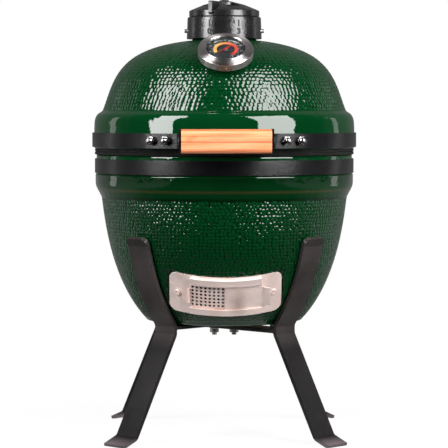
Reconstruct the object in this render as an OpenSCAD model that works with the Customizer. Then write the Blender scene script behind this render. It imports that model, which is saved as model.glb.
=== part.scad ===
// Compact egg-shaped ceramic grill (kamado) on a four-leg strap-steel stand.
// Millimetres, +Z up, front towards -Y. The origin is on the ground, under the bowl's axis.

/* [Ceramic shell] */
// Outer diameter of the lid's smooth collar
collar_d = 330; // [328:1:331]
// Wall thickness of bowl and lid
wall = 20; // [17:1:21]
// Height of the joint between the two gaskets
seam_z = 357.3; // [357:0.1:358]
// Height of the bowl's flat underside
bowl_bottom_z = 142.4; // [142.4:0.1:142.8]
// Diameter of the lid's chimney bore
chimney_d = 60; // [50:1:64]

/* [Bands] */
// Height of both steel bands
band_h = 18; // [16:1:18]
// Thickness of both steel bands
band_t = 1.9; // [1.5:0.1:2]
// Lower edge of the lid band
lid_band_z = 363; // [362.5:0.5:364]
// Lower edge of the bowl band
base_band_z = 330.3; // [330:0.1:331]

/* [Handle] */
// Length of the wooden bar
bar_l = 107; // [90:1:112]
// Height of the wooden bar
bar_h = 29; // [24:1:32]
// Depth of the wooden bar, front to back
bar_depth = 22; // [18:1:24]
// Distance of the bar's front face from the axis
bar_front = 206; // [204:1:206]

/* [Chimney vent] */
// Diameter of the cast ring at its foot
vent_d = 94.8; // [94:0.2:96]
// Diameter of the rotating cap
cap_d = 88.6; // [86:0.2:90]
// Number of windows in the cap
cap_windows = 4; // [3:1:4]
// Angle that one window spans
window_angle = 36; // [30:1:38]

/* [Thermometer] */
// Outer diameter of the thermometer's bezel
bezel_d = 67.6; // [60:0.2:70]
// Diameter of the dial that shows
dial_d = 43; // [38:1:46]
// Length of the probe inside the lid
probe_l = 70; // [50:1:80]

/* [Draft door] */
// Radius that the door's parts are rolled to
door_r = 137; // [136:0.5:138]
// Tilt of the door from upright, facing down
door_tilt = 27; // [26:0.5:28]
// Width of the door frame, ear to ear
door_w = 137; // [130:1:138]
// Height of the door frame
door_h = 54.5; // [52:0.5:55]
// Columns of holes in the screen
screen_columns = 8; // [4:1:8]
// Rows of holes in the screen
screen_rows = 6; // [3:1:6]

/* [Stand] */
// Width of the strap that the legs are bent from
strap_w = 34; // [28:1:36]
// Thickness of the strap
strap_t = 5; // [4.5:0.1:5.2]
// Distance of a toe's tip from the axis
toe_reach = 193; // [188:1:196]

/* [Inside] */
// Diameter of the cooking grid
grid_d = 252; // [240:1:254]
// Number of rods in the cooking grid
grid_rods = 15; // [9:2:17]
// Diameter of the charcoal grate
grate_d = 132; // [120:1:134]

/* [Hidden] */
$fn = 96;
eps = 0.01;                 // overlap that keeps cuts open
fit_gap = 0.1;              // gap between parts that lie against each other
run_gap = 0.05;             // radial gap of a running fit
corners = [45, 135, 225, 315];   // directions of the four legs, from +X

// Ceramic outlines: control points [radius, height] of two smooth curves
bowl_curve = [[155.5, 300], [150, 251], [138, 181], [92, 138]];
dome_curve = [[155, 405], [139.5, 451], [134.5, 486], [47, 496.7]];
curve_steps = 20;
lid_r = collar_d / 2;
base_rim_r = lid_r - 3.2;
lid_bottom_z = seam_z + 3.9;
base_rim_z = seam_z - 3.8;
floor_z = 166;              // top of the bowl's floor
neck_r = 40;                // outside of the chimney's neck
neck_top_z = 514;
dome_under_z = 477;         // lower end of the chimney's bore

// Bands and gaskets
lid_band_r = lid_r + fit_gap;
base_band_r = base_rim_r + fit_gap;
gasket_r = lid_r - 0.2;
gasket_in_r = gasket_r - 16;
band_gap = 4;

// M6 hardware
bolt_r = 2.95;
nut_bore_r = 3;
hole_r = 3.2;
nut_across = 10;
head_r = 6.5;
head_t = 2.2;

// Handle
plate_t = 2.5;
handle_angles = [25, 31.6];
handle_z = lid_band_z + band_h / 2;
bracket_r = lid_band_r + band_t + fit_gap;
bracket_end_angle = 34.6;
bar_y = -bar_front + bar_depth / 2;

// Hinge
pin_y = 197;
pin_z = seam_z;
pin_r = 3.98;
pin_bore_r = pin_r + run_gap;
eye_r = 9;
cheek_t = 3;
base_cheek_x = 30;
lid_cheek_x = 26.5;
hinge_bolt_angle = 5;
foot_t = 2.5;

// Chimney vent
vent_foot_z = 499;
vent_top_z = 526.4;
vent_shelf_z = 521.5;
disc_t = 2.5;
disc_r = 37.8;
cap_bottom_z = 527.3;
cap_wall_z = 534;
cap_top_z = 546.4;
cap_t = 3;
hub_r = 7;
window_in_r = 15;
window_out_r = 31;
set_screw_angles = [-90, 90, 180];
set_screw_z = 509;
set_screw_r = 2.45;
lever_angle = -113;         // direction of the lever, anticlockwise from +X
window_shift = 45;          // from the lever to the middle of the next window

// Thermometer, in its own space: its Z axis leaves the dome at a right angle
gauge_r = 118;
gauge_z = 475;
gauge_tilt = 36.4;
case_bottom = 0.8;
case_top = 9.2;
bezel_top = 12.8;
dial_z = 8.2;
needle_z = 9.9;
needle_t = 0.4;
needle_angle = 225;         // at rest, from +X of the gauge
glass_z = 11;
spindle_r = 0.8;
stem_r = 3;

// Draft door, in its own space: the axis that it slides round is its Z axis
door_axis_z = 244.2;
frame_t = 1.2;
screen_r = door_r + 1.6;
screen_t = 0.8;
slide_r = door_r + 2.9;
slide_t = 1;
lip_r = door_r + 4.3;
lip_t = 1;
slide_h = 38.6;
rail_angle = 18.1;
ear_screw_angle = 25.1;
draft_w = 42;
draft_h = 35;

// Stand
bar_t = 4.5;
cross_z = bowl_bottom_z - 2 * bar_t;
knee_r = 103.5;
cross_bolt_x = 12.5;

// ---- Curves and outlines ----

// Point on a cubic curve with control points p, t from 0 to 1
function curve(p, t) =
    pow(1 - t, 3) * p[0] + 3 * pow(1 - t, 2) * t * p[1] + 3 * (1 - t) * t * t * p[2]
    + pow(t, 3) * p[3];

// Direction of the same curve
function curve_way(p, t) =
    pow(1 - t, 2) * (p[1] - p[0]) + 2 * (1 - t) * t * (p[2] - p[1]) + t * t * (p[3] - p[2]);

// Point beside the curve, to the left as it runs
function beside(p, t, gap) =
    let (way = curve_way(p, t)) curve(p, t) + gap * [-way[1], way[0]] / norm(way);

// Path with each inner corner replaced by an arc of radius r
function bent(path, r, steps = 5) = concat([path[0]], [
    for (i = [1 : len(path) - 2])
        let (
            a = (path[i - 1] - path[i]) / norm(path[i - 1] - path[i]),
            b = (path[i + 1] - path[i]) / norm(path[i + 1] - path[i]),
            half = acos(max(-1, min(1, a * b))) / 2,
            centre = path[i] + (a + b) / norm(a + b) * r / sin(half),
            from = path[i] + a * r / tan(half) - centre,
            to = path[i] + b * r / tan(half) - centre
        )
        for (k = [0 : steps])
            let (v = from * (1 - k / steps) + to * k / steps) centre + v / norm(v) * r
], [path[len(path) - 1]]);

// Direction along a path at point i
function heading(path, i) =
    let (v = path[min(i + 1, len(path) - 1)] - path[max(i - 1, 0)]) v / norm(v);

// Closed outline of a strip of thickness t that follows a path
function strip(path, t) = concat(
    [for (i = [0 : len(path) - 1]) path[i] + t / 2 * [-heading(path, i)[1], heading(path, i)[0]]],
    [for (i = [len(path) - 1 : -1 : 0])
        path[i] - t / 2 * [-heading(path, i)[1], heading(path, i)[0]]]
);

// Point on a circle round the Z axis, its angle counted from the front towards +X
function front_point(r, a) = [r * sin(a), -r * cos(a)];

module rounded_rect(w, h, r) {
    square([w - 2 * r, h], center = true);
    square([w, h - 2 * r], center = true);
    for (x = [-1, 1], y = [-1, 1])
        translate([x * (w / 2 - r), y * (h / 2 - r)]) circle(r);
}

// Ring, or with a span in degrees a part of one centred on -Y
module ring(r_in, r_out, z_low, z_high, span = 360) {
    if (span == 360) {
        rotate_extrude() translate([r_in, z_low]) square([r_out - r_in, z_high - z_low]);
    } else {
        rotate([0, 0, -90 - span / 2])
            rotate_extrude(angle = span)
                translate([r_in, z_low]) square([r_out - r_in, z_high - z_low]);
    }
}

// Round bar that points outwards from the Z axis, a counted from the front towards +X
module spoke(r_from, r_to, bar_r, a, z) {
    rotate([0, 0, a]) translate([0, -r_from, z]) rotate([90, 0, 0])
        cylinder(r = bar_r, h = r_to - r_from);
}

// ---- Hardware ----

// Bolt with a flat round head that lies under its band, length measured from the head
module carriage_bolt(length) {
    cylinder(r = head_r, h = head_t);
    cylinder(r = bolt_r, h = head_t + length);
}

module hex(across, h) { cylinder(d = across / cos(30), h = h, $fn = 6); }

// Domed cap nut of overall height h
module acorn_nut(h, bore_h) {
    flat_h = h * 0.45;
    dome_r = nut_across / 2 - 0.25;
    difference() {
        union() {
            hex(nut_across, flat_h);
            cylinder(r = dome_r, h = h - dome_r);
            translate([0, 0, h - dome_r]) sphere(dome_r);
        }
        translate([0, 0, -eps]) cylinder(r = nut_bore_r, h = bore_h);
    }
}

module plain_nut(h) {
    difference() {
        hex(nut_across, h);
        translate([0, 0, -eps]) cylinder(r = nut_bore_r, h = h + 2 * eps);
    }
}

// Places children on a circle of radius r, their Z axis pointing outwards
module on_circle(r, angles, z) {
    for (a = angles) rotate([0, 0, a]) translate([0, -r, z]) rotate([90, 0, 0]) children();
}

handle_spots = [-handle_angles[1], -handle_angles[0], handle_angles[0], handle_angles[1]];
hinge_spots = [180 - hinge_bolt_angle, 180 + hinge_bolt_angle];

// ---- Ceramic ----

module bowl_outline() {
    outer = [for (i = [0 : curve_steps - 1]) curve(bowl_curve, i / curve_steps)];
    inner = [for (i = [12 : -1 : 0]) beside(bowl_curve, 0.84 * i / 12, -wall)];
    polygon(concat(
        [[0, floor_z], [0, bowl_bottom_z], [88, bowl_bottom_z], [97, 144.5]],
        [for (i = [curve_steps - 1 : -1 : 0]) outer[i]],
        [
            [157.6, 304.2], [160.4, 309], [base_rim_r + 0.8, 314], [base_rim_r + 1.4, 318],
            [base_rim_r + 1.4, 328.6], [base_rim_r, 329.6], [base_rim_r, base_rim_z - 2],
            [base_rim_r - 2, base_rim_z], [lid_r - wall + 2, base_rim_z],
            [lid_r - wall, base_rim_z - 2], [lid_r - wall, 322]
        ],
        [for (i = [12 : -1 : 0]) inner[i]],
        [[78, floor_z]]
    ));
}

module door_space() {
    translate([0, 0, door_axis_z]) rotate([door_tilt, 0, 0]) children();
}

// Seat for the door frame, a shallow pocket behind it, and the way through the wall
module door_cut() {
    seat_span = 2 * asin(door_w / 2 / door_r) + 1;
    pocket_h = slide_h - 3;
    door_space() {
        ring(door_r, door_r + 15, -door_h / 2 - 0.6, door_h / 2 + 0.6, seat_span);
        translate([-42, -door_r - 5, -pocket_h / 2]) cube([84, 19, pocket_h]);
        translate([-draft_w / 2, -door_r - 5, -draft_h / 2]) cube([draft_w, 55, draft_h]);
        on_circle(door_r - 10, [-ear_screw_angle, ear_screw_angle], 0) cylinder(r = 1.6, h = 12);
    }
}

module base_bowl() color("darkgreen") {
    difference() {
        rotate_extrude() bowl_outline();
        door_cut();
        on_circle(base_rim_r - head_t - 0.6, hinge_spots, base_band_z + band_h / 2)
            cylinder(r = head_r + 1, h = 5);
    }
}

module lid_outline() {
    polygon(concat(
        [
            [lid_r - wall, lid_bottom_z + 2], [lid_r - wall + 2, lid_bottom_z],
            [lid_r - 2, lid_bottom_z], [lid_r, lid_bottom_z + 2], [lid_r, 397],
            [lid_r - 1.2, 401], [lid_r - 4, 404.4], [lid_r - 8, 406.6], [lid_r - 11, 408.8]
        ],
        [for (i = [2 : curve_steps]) curve(dome_curve, i / curve_steps)],
        [
            [neck_r, 497], [neck_r, neck_top_z], [chimney_d / 2, neck_top_z],
            [chimney_d / 2, dome_under_z]
        ],
        [for (i = [10 : -1 : 0]) beside(dome_curve, 0.86 * i / 10, wall)],
        [[lid_r - wall, 392]]
    ));
}

module lid_dome() color("darkgreen") {
    difference() {
        rotate_extrude() lid_outline();
        gauge_space() translate([0, 0, -40]) cylinder(r = stem_r + 1, h = 60);
        on_circle(lid_r - head_t - 0.6, handle_spots, handle_z) cylinder(r = head_r + 1, h = 5);
        on_circle(lid_r - head_t - 0.6, hinge_spots, handle_z) cylinder(r = head_r + 1, h = 5);
    }
}

module base_gasket() color("black") ring(gasket_in_r, gasket_r, base_rim_z, seam_z - fit_gap / 2);

module lid_gasket() color("black") ring(gasket_in_r, gasket_r, seam_z + fit_gap / 2, lid_bottom_z);

// ---- Bands ----

module band(r_in, z_low, spots) {
    difference() {
        ring(r_in, r_in + band_t, z_low, z_low + band_h);
        translate([-band_gap / 2, r_in - 10, z_low - 1]) cube([band_gap, 20, band_h + 2]);
        on_circle(r_in - 5, spots, z_low + band_h / 2) cylinder(r = hole_r, h = 15);
    }
}

module base_band() color("dimgray") band(base_band_r, base_band_z, hinge_spots);

module lid_band() color("dimgray") band(lid_band_r, lid_band_z, concat(handle_spots, hinge_spots));

// ---- Handle ----

// Plan of one bracket: a foot that follows the band, then an arm straight to the front
module bracket_plan() {
    foot_r = bracket_r + plate_t / 2;
    arm_x = bar_l / 2 + fit_gap + plate_t / 2;
    foot_span = bracket_end_angle - asin((arm_x + 4) / foot_r);
    foot = [for (i = [0 : 6]) front_point(foot_r, bracket_end_angle - foot_span * i / 6)];
    arm = bent([foot[6], [arm_x, foot[6][1] - 5], [arm_x, -bar_front + 2]], 4);
    polygon(strip(concat([for (i = [0 : 5]) foot[i]], arm), plate_t));
}

// Side view of the bracket: as high as the band at its foot, as high as the bar in front
module bracket_side() {
    translate([-bar_front - 1, -band_h / 2]) square([100, band_h]);
    hull() {
        translate([bar_y, 0]) rounded_rect(bar_depth, bar_h + 1, 6);
        translate([bar_y + 22, 0]) square([2, band_h], center = true);
    }
}

module handle_bracket() {
    difference() {
        intersection() {
            translate([0, 0, handle_z - bar_h]) linear_extrude(2 * bar_h) bracket_plan();
            translate([0, 0, handle_z]) rotate([90, 0, 90]) linear_extrude(120) bracket_side();
        }
        on_circle(bracket_r - 5, handle_angles, handle_z) cylinder(r = hole_r, h = 15);
        translate([0, bar_y, handle_z]) rotate([0, 90, 0]) cylinder(r = 2.6, h = 80);
    }
}

module handle_bracket_right() color("black") handle_bracket();

module handle_bracket_left() color("black") mirror([1, 0, 0]) handle_bracket();

module handle_bar() color("burlywood") {
    difference() {
        translate([-bar_l / 2, bar_y, handle_z]) rotate([90, 0, 90])
            linear_extrude(bar_l) rounded_rect(bar_depth, bar_h, 6);
        for (side = [-1, 1])
            translate([side * bar_l / 2, bar_y, handle_z]) rotate([0, -side * 90, 0])
                translate([0, 0, -eps]) cylinder(r = 2.5, h = 26);
    }
}

module handle_bolts() color("silver")
    on_circle(lid_r - head_t - 0.2, handle_spots, handle_z) carriage_bolt(11);

module handle_nuts() color("silver")
    on_circle(bracket_r + plate_t, handle_spots, handle_z) acorn_nut(11, 9);

// Screw with a low domed head, which lies against the outside of a bracket
module end_screw() {
    translate([0, 0, -25]) cylinder(r = 2.45, h = 25);
    intersection() {
        translate([0, 0, -4]) sphere(7.2);
        cylinder(r = 6, h = 10);
    }
}

module handle_end_screws() color("black") {
    head_x = bar_l / 2 + fit_gap + plate_t;
    for (side = [-1, 1])
        translate([side * head_x, bar_y, handle_z]) rotate([0, side * 90, 0]) end_screw();
}

// ---- Hinge ----

// Side view of one cheek: an eye round the pin and a root on its foot plate
module cheek_side(root_r, z_low, z_high, root_x) {
    root_y = sqrt(root_r * root_r - root_x * root_x);
    difference() {
        hull() {
            translate([pin_y, pin_z]) circle(eye_r);
            translate([root_y, z_low]) square([1.5, z_high - z_low]);
        }
        translate([pin_y, pin_z]) circle(pin_bore_r);
    }
}

module hinge_bracket(foot_r, z_low, half_angle, cheek_x) {
    difference() {
        rotate([0, 0, 180]) ring(foot_r, foot_r + foot_t, z_low, z_low + band_h, 2 * half_angle);
        on_circle(foot_r - 5, hinge_spots, z_low + band_h / 2) cylinder(r = hole_r, h = 15);
    }
    for (x = [-cheek_x - cheek_t, cheek_x])
        translate([x, 0, 0]) rotate([90, 0, 90]) linear_extrude(cheek_t)
            cheek_side(foot_r + 0.6, z_low, z_low + band_h, cheek_x);
}

module hinge_base_bracket() color("dimgray")
    hinge_bracket(base_band_r + band_t + fit_gap, base_band_z, 15, base_cheek_x);

module hinge_lid_bracket() color("dimgray")
    hinge_bracket(lid_band_r + band_t + fit_gap, lid_band_z, 13, lid_cheek_x);

module hinge_base_bolts() color("silver")
    on_circle(base_rim_r - head_t - 0.2, hinge_spots, base_band_z + band_h / 2) carriage_bolt(11);

module hinge_lid_bolts() color("silver")
    on_circle(lid_r - head_t - 0.2, hinge_spots, handle_z) carriage_bolt(11);

module hinge_base_nuts() color("silver")
    on_circle(base_band_r + band_t + fit_gap + foot_t, hinge_spots, base_band_z + band_h / 2)
        plain_nut(5);

module hinge_lid_nuts() color("silver")
    on_circle(lid_band_r + band_t + fit_gap + foot_t, hinge_spots, handle_z) plain_nut(5);

module hinge_pin() color("silver") {
    reach = base_cheek_x + cheek_t;
    translate([-reach - 5, pin_y, pin_z]) rotate([0, 90, 0]) {
        difference() {
            union() {
                cylinder(r = pin_r, h = 2 * reach + 12);
                translate([0, 0, 2]) cylinder(r = 6.5, h = 2.9);
            }
            translate([0, 0, 2 * reach + 7]) difference() {
                cylinder(r = pin_r + 1, h = 1.4);
                translate([0, 0, -1]) cylinder(r = 3, h = 4);
            }
        }
    }
}

module hinge_pin_clip() color("gray")
    translate([base_cheek_x + cheek_t + 2.1, pin_y, pin_z]) rotate([0, 90, 0])
        difference() {
            cylinder(r = 7, h = 1.2);
            translate([0, 0, -1]) cylinder(r = 3.05, h = 4);
            translate([-2.8, 0, -1]) cube([5.6, 10, 4]);
        }

// ---- Chimney vent ----

module vent_base() color("dimgray") {
    vent_r = vent_d / 2;
    difference() {
        rotate_extrude() polygon([
            [neck_r + 0.4, vent_foot_z], [vent_r, vent_foot_z], [vent_r - 1, vent_top_z - 1],
            [vent_r - 2, vent_top_z], [disc_r + 0.2, vent_top_z], [disc_r + 0.2, vent_shelf_z],
            [chimney_d / 2, vent_shelf_z], [chimney_d / 2, neck_top_z + fit_gap],
            [neck_r + 0.4, neck_top_z + fit_gap]
        ]);
        on_circle(neck_r - 5, set_screw_angles, set_screw_z)
            cylinder(r = set_screw_r + run_gap, h = 20);
    }
}

module vent_set_screws() color("silver") {
    stub = vent_d / 2 - neck_r + 2.6;
    on_circle(neck_r + 0.2, set_screw_angles, set_screw_z) difference() {
        cylinder(r = set_screw_r, h = stub);
        translate([0, 0, stub - 2.5]) hex(2.5, 3);
    }
}

// Fan-shaped slots round the Z axis, n of them, the first centred on angle a from +X
module slots(r_in, r_out, n, span, a, z_low, z_high) {
    for (i = [0 : n - 1])
        rotate([0, 0, a + i * 360 / n - span / 2])
            rotate_extrude(angle = span)
                translate([r_in, z_low]) square([r_out - r_in, z_high - z_low]);
}

window_pitch = 360 / cap_windows;

module vent_disc() color("dimgray") {
    window_a = lever_angle + window_shift;
    difference() {
        translate([0, 0, vent_shelf_z]) cylinder(r = disc_r, h = disc_t);
        translate([0, 0, vent_shelf_z - 1]) cylinder(r = bolt_r + run_gap, h = disc_t + 2);
        slots(window_in_r - 1, window_out_r, cap_windows, window_angle,
            window_a + window_pitch / 2, vent_shelf_z - 1, vent_shelf_z + disc_t + 1);
        for (i = [0 : cap_windows - 1], hole = [[21, -10], [27, 0], [21, 10], [28, 15], [28, -15]])
            rotate([0, 0, window_a + i * window_pitch + hole[1]])
                translate([hole[0], 0, vent_shelf_z - 1]) cylinder(r = 1.6, h = disc_t + 2);
    }
}

// Lever: an upright fin that runs from the hub over the cap's edge
module lever_side() {
    hull() {
        translate([cap_d / 2 - 0.2, cap_top_z - 3.4]) circle(2.6);
        translate([cap_d / 2 - 0.2, cap_bottom_z + 4]) circle(2.6);
        translate([6, cap_top_z - 3.4]) circle(2.6);
    }
}

// Half section of the cap, moved inwards by inset
module cap_outline(inset) {
    edge_r = cap_d / 2 - inset;
    polygon([
        [0, cap_bottom_z - 1], [edge_r, cap_bottom_z - 1], [edge_r, cap_wall_z - inset / 3],
        [edge_r - 1.4, cap_wall_z + 1 - inset], [26, cap_top_z - 4.4 - inset],
        [9, cap_top_z - inset], [0, cap_top_z - inset]
    ]);
}

module vent_cap() color("dimgray") {
    below = 20;
    difference() {
        union() {
            difference() {
                union() {
                    rotate_extrude() cap_outline(0);
                    rotate([0, 0, lever_angle]) translate([0, 2.4, 0]) rotate([90, 0, 0])
                        linear_extrude(4.8) lever_side();
                }
                rotate_extrude() cap_outline(cap_t);
                slots(window_in_r, window_out_r, cap_windows, window_angle,
                    lever_angle + window_shift, cap_wall_z - 5, cap_top_z + 5);
            }
            translate([0, 0, vent_shelf_z + disc_t + 0.3])
                cylinder(r = hub_r, h = cap_top_z - vent_shelf_z - disc_t - 1.3);
        }
        translate([0, 0, cap_bottom_z - below]) difference() {
            cylinder(r = 80, h = below);
            translate([0, 0, -1]) cylinder(r = hub_r + 1, h = below + 2);
        }
        translate([0, 0, cap_bottom_z - 10]) cylinder(r = nut_bore_r, h = 40);
    }
}

module vent_pivot_bolt() color("silver") {
    head_z = vent_shelf_z - fit_gap - 4;
    translate([0, 0, head_z]) hex(nut_across, 4);
    translate([0, 0, head_z]) cylinder(r = bolt_r, h = cap_top_z - head_z + 6);
}

module vent_cap_nut() color("silver") translate([0, 0, cap_top_z]) acorn_nut(9.5, 7);

// ---- Thermometer ----

module gauge_space() {
    translate([0, -gauge_r, gauge_z]) rotate([gauge_tilt, 0, 0]) children();
}

module thermometer_case() color("silver") gauge_space() {
    case_r = bezel_d / 2;
    difference() {
        translate([0, 0, case_bottom]) cylinder(r = case_r, h = case_top - case_bottom);
        translate([0, 0, case_bottom + 1.2]) cylinder(r = case_r - 1, h = case_top);
        translate([0, 0, -1]) cylinder(r = stem_r + 0.05, h = 10);
        translate([0, -case_r + 5, case_top / 2 + 0.6]) rotate([90, 0, 0])
            cylinder(r = 0.9, h = 10);
    }
}

module thermometer_bezel() color("silver") gauge_space() {
    rotate_extrude() polygon([
        [bezel_d / 2, case_top], [bezel_d / 2, case_top + 0.8], [bezel_d / 2 - 1, case_top + 1.3],
        [dial_d / 2 + 1.2, bezel_top], [dial_d / 2, bezel_top - 0.5], [dial_d / 2, glass_z + 1.05],
        [dial_d / 2 + 2, glass_z + 1.05], [dial_d / 2 + 2, glass_z - 0.05],
        [bezel_d / 2 - 3, case_top]
    ]);
}

module thermometer_dial() color("darkslategray") gauge_space() {
    difference() {
        translate([0, 0, dial_z]) cylinder(r = dial_d / 2 + 2.5, h = 0.8);
        translate([0, 0, dial_z - 1]) cylinder(r = stem_r + 0.05, h = 3);
    }
}

module thermometer_glass() color("lightblue", 0.3) gauge_space()
    translate([0, 0, glass_z]) cylinder(r = dial_d / 2 + 1.9, h = 1);

module thermometer_stem() color("silver") gauge_space() {
    stem_top = dial_z + 1;
    difference() {
        union() {
            translate([0, 0, -probe_l]) cylinder(r = stem_r, h = probe_l + stem_top);
            translate([0, 0, -probe_l]) sphere(stem_r);
            translate([0, 0, case_bottom + 1.2]) cylinder(r = 6, h = 3);
        }
        translate([0, 0, -22]) cylinder(r = spindle_r + 0.06, h = 40);
    }
}

module thermometer_nut() color("silver") gauge_space() {
    inside = -wall - 6.6;
    translate([0, 0, inside]) difference() {
        union() {
            translate([0, 0, 3]) cylinder(r = 9, h = 1.5);
            hex(12, 3);
        }
        translate([0, 0, -1]) cylinder(r = stem_r + 0.02, h = 8);
    }
}

// Outline of the needle, pointing along +X, with a counterweight tail
module needle_outline() {
    tip = 12.6;
    tail = -9;
    polygon([[tail, -0.8], [0, -0.9], [tip, -0.2], [tip, 0.2], [0, 0.9], [tail, 0.8]]);
    circle(1.8);
}

module thermometer_needle() color("red") gauge_space() {
    translate([0, 0, needle_z]) linear_extrude(needle_t) difference() {
        rotate([0, 0, needle_angle]) needle_outline();
        circle(spindle_r);
    }
}

module thermometer_spindle() color("silver") gauge_space()
    translate([0, 0, -20]) cylinder(r = spindle_r, h = 20 + needle_z + needle_t);

// ---- Draft door ----

// What rounding takes off one corner of a flat outline w by h. The arc crosses both edges at a
// slight angle, because an arc that only grazes them leaves slivers.
module corner_waste(w, h, r) {
    difference() {
        translate([w / 2 - r, h / 2 - r]) square(2 * r);
        translate([w / 2 - r, h / 2 - r]) circle(r + 0.06);
    }
}

module draft_frame() color("silver") door_space() {
    ear_r = 10;
    half_span = asin(door_w / 2 / (door_r + frame_t));
    difference() {
        ring(door_r + fit_gap, door_r + frame_t, -door_h / 2, door_h / 2, 2 * half_span);
        translate([-42, -door_r - 5, -slide_h / 2 + 1.5]) cube([84, 30, slide_h - 3]);
        on_circle(door_r - 5, [-ear_screw_angle, ear_screw_angle], 0) cylinder(r = 1.7, h = 12);
        for (x = [0, 1], z = [0, 1])
            mirror([x, 0, 0]) mirror([0, 0, z]) translate([0, -door_r + 50, 0])
                rotate([90, 0, 0]) linear_extrude(60) corner_waste(door_w, door_h, ear_r);
    }
    draft_rail();
    mirror([0, 0, 1]) draft_rail();
}

// Upper rail: a wall above the slides, and a lip that holds them in
module draft_rail() {
    low = slide_h / 2;
    high = door_h / 2 - 2.5;
    rotate([0, 0, -90 - rail_angle]) rotate_extrude(angle = 2 * rail_angle) polygon([
        [door_r + frame_t / 2, low + 0.4], [lip_r, low + 0.4], [lip_r, low - 3],
        [lip_r + lip_t, low - 3], [lip_r + lip_t, high], [door_r + frame_t / 2, high]
    ]);
}

module draft_frame_screws() color("silver") door_space() {
    on_circle(door_r - 9, [-ear_screw_angle, ear_screw_angle], 0) {
        cylinder(r = 1.5, h = 9 + frame_t + 1);
        difference() {
            translate([0, 0, 9 + frame_t]) cylinder(r = 3.5, h = 1.9);
            for (a = [0, 90]) rotate([0, 0, a])
                translate([-0.5, -2.2, 9 + frame_t + 1.1]) cube([1, 4.4, 2]);
        }
    }
}

// Finger tab: a strip that leaves the rolled plate at angle a, to side +1 or -1, and bends outwards
module finger_tab(r, t, a, side, bend, length, h) {
    root = front_point(r + t / 2, a - side * 0.6);
    start = front_point(r + t / 2, a);
    way = a - side * bend;
    tip = start + side * length * [cos(way), sin(way)];
    translate([0, 0, -h / 2]) linear_extrude(h)
        polygon(strip(bent([root, start, tip], 0.8, 3), t));
}

module draft_door() color("silver") door_space() {
    left = -0.3;
    right = 18.6;
    rotate([0, 0, (left + right) / 2])
        ring(slide_r, slide_r + slide_t, -slide_h / 2, slide_h / 2, right - left);
    finger_tab(slide_r, slide_t, right, 1, 38, 11, 24);
}

module draft_screen() color("silver") door_space() {
    left = -18.1;
    right = 0.4;
    column_pitch = 2.2;
    row_pitch = 4.86;
    first_column = -1.4;
    difference() {
        rotate([0, 0, (left + right) / 2])
            ring(screen_r, screen_r + screen_t, -slide_h / 2, slide_h / 2, right - left);
        for (c = [0 : screen_columns - 1], w = [0 : screen_rows - 1])
            spoke(screen_r - 2, screen_r + 3, 1.6, first_column - c * column_pitch,
                (w - (screen_rows - 1) / 2) * row_pitch);
    }
    finger_tab(screen_r, screen_t, left, -1, 60, 5, 20);
}

// ---- Inside ----

module firebox() color("tan") {
    low = floor_z + fit_gap;
    high = 288;
    difference() {
        rotate_extrude() polygon([
            [58, low], [76, low], [86, 184], [119, high], [104, high], [76, 216], [69, 216],
            [69, 211], [58, 211]
        ]);
        translate([-25, -130, low - 1]) cube([50, 90, 30]);
    }
}

module fire_ring() color("tan") {
    low = 288 + fit_gap;
    rotate_extrude() polygon([
        [104, low], [119, low], [131, 300], [131, 338], [116, 338], [116, 303]
    ]);
}

module charcoal_grate() color("dimgray") {
    z = 211 + fit_gap;
    difference() {
        translate([0, 0, z]) cylinder(d = grate_d, h = 5);
        for (n = [1 : 4], i = [0 : 6 * n - 1])
            rotate([0, 0, i * 60 / n]) translate([n * 13.5, 0, z - 1]) cylinder(r = 4, h = 7);
    }
}

module cooking_grid() color("silver") {
    rim_r = 3;
    z = 338 + rim_r;
    reach = grid_d / 2 - rim_r;
    pitch = 2 * reach / (grid_rods + 1);
    translate([0, 0, z]) rotate_extrude() translate([reach, 0]) circle(rim_r);
    for (i = [1 : grid_rods])
        let (x = -reach + i * pitch, half = sqrt(reach * reach - x * x))
            translate([x, half, z]) rotate([90, 0, 0]) cylinder(r = 2, h = 2 * half);
    for (y = [-45, 45])
        let (half = sqrt(reach * reach - y * y))
            translate([-half, y, z - 0.5]) rotate([0, 90, 0]) cylinder(r = 2.5, h = 2 * half);
}

// ---- Stand ----

// Middle line of one leg, [distance from the axis, height], from the lip to the toe
function leg_path() =
    let (
        arm_gap = strap_t / 2 + 0.6,
        arm = [for (t = [0.34 : 0.06 : 0.76]) beside(bowl_curve, t, arm_gap)],
        toe_z = 1,
        foot = [toe_reach - 22.7, 9.8]
    )
    concat(
        bent(concat([[arm[0][0] + 6, arm[0][1] + 9.4]], arm), 6, 3),
        bent([
            arm[len(arm) - 1], [knee_r, 143], [knee_r, 132], foot, [toe_reach - 0.6, toe_z]
        ], 7, 4)
    );

// A path without the points that lie closer than this gap to the one before
function spaced(path, gap = 0.05) = [
    for (i = [0 : len(path) - 1]) if (i == 0 || norm(path[i] - path[i - 1]) > gap) path[i]
];

module leg(a) color("#3a3130") {
    path = leg_path();
    rotate([0, 0, a]) difference() {
        translate([0, strap_w / 2, 0]) rotate([90, 0, 0])
            linear_extrude(strap_w) polygon(strip(spaced(path), strap_t));
        translate([0, -strap_w, -20]) cube([300, 2 * strap_w, 20]);
        for (side = [-1, 1]) lip_corner(path[0], side);
    }
}

// Rounds one top corner of the lip
module lip_corner(tip, side) {
    r = 7;
    lean = 33;
    translate([tip[0], side * strap_w / 2, tip[1]]) rotate([0, lean, 0]) translate([-10, 0, 0])
        rotate([0, 90, 0]) linear_extrude(20) difference() {
            translate([-6, side > 0 ? -r : -6]) square([r + 6, r + 6]);
            translate([r, side > 0 ? -r : r]) circle(r);
        }
}

module leg_front_right() leg(corners[3]);
module leg_back_right() leg(corners[0]);
module leg_back_left() leg(corners[1]);
module leg_front_left() leg(corners[2]);

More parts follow.
